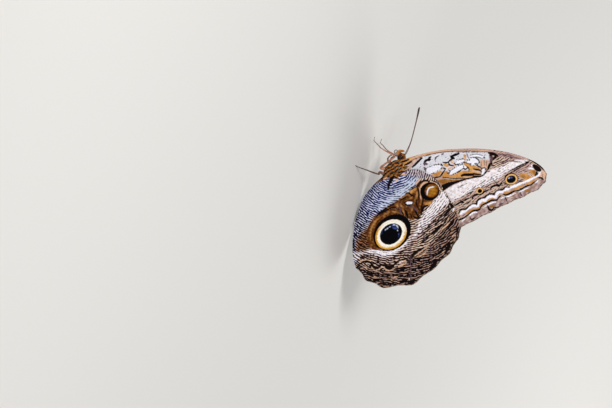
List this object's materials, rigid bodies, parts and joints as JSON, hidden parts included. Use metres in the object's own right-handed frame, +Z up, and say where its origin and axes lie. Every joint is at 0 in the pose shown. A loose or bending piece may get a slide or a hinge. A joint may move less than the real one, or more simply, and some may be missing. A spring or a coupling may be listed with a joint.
{
  "type": "owl butterfly",
  "caption": "Still life-size owl butterfly standing on its feet, with wings closed upright over its back, ridged wing veins, clubbed antennae and walking legs.",
  "frame": {"origin": "middle of the bounding box's bottom face, on the plane that the feet stand on", "axes": "+Z up, the head toward -X, the insect's left side toward -Y, its right side toward +Y"},
  "size_m": [0.093, 0.0484, 0.0902],
  "materials": {
    "wing_scales": "matt powdery scales in brown, cream, ochre and slate, with eyespots",
    "body_fur": "short dense fur in dark brown, orange-brown and cream",
    "cuticle": "satin reddish-brown insect cuticle with fine hairs",
    "eye": "glossy near-black compound eye"
  },
  "bodies": {
    "root": {"thorax": "body_fur", "abdomen": "body_fur", "head": "body_fur", "palp_left": "body_fur", "palp_right": "body_fur", "eye_left": "eye", "eye_right": "eye", "proboscis": "cuticle", "antenna_left": "cuticle", "antenna_right": "cuticle", "foreleg_left": "cuticle", "foreleg_right": "cuticle", "midleg_left": "cuticle", "midleg_right": "cuticle", "hindleg_left": "cuticle", "hindleg_right": "cuticle", "forewing_left": "wing_scales", "forewing_right": "wing_scales", "hindwing_left": "wing_scales", "hindwing_right": "wing_scales"}
  },
  "joints": []
}
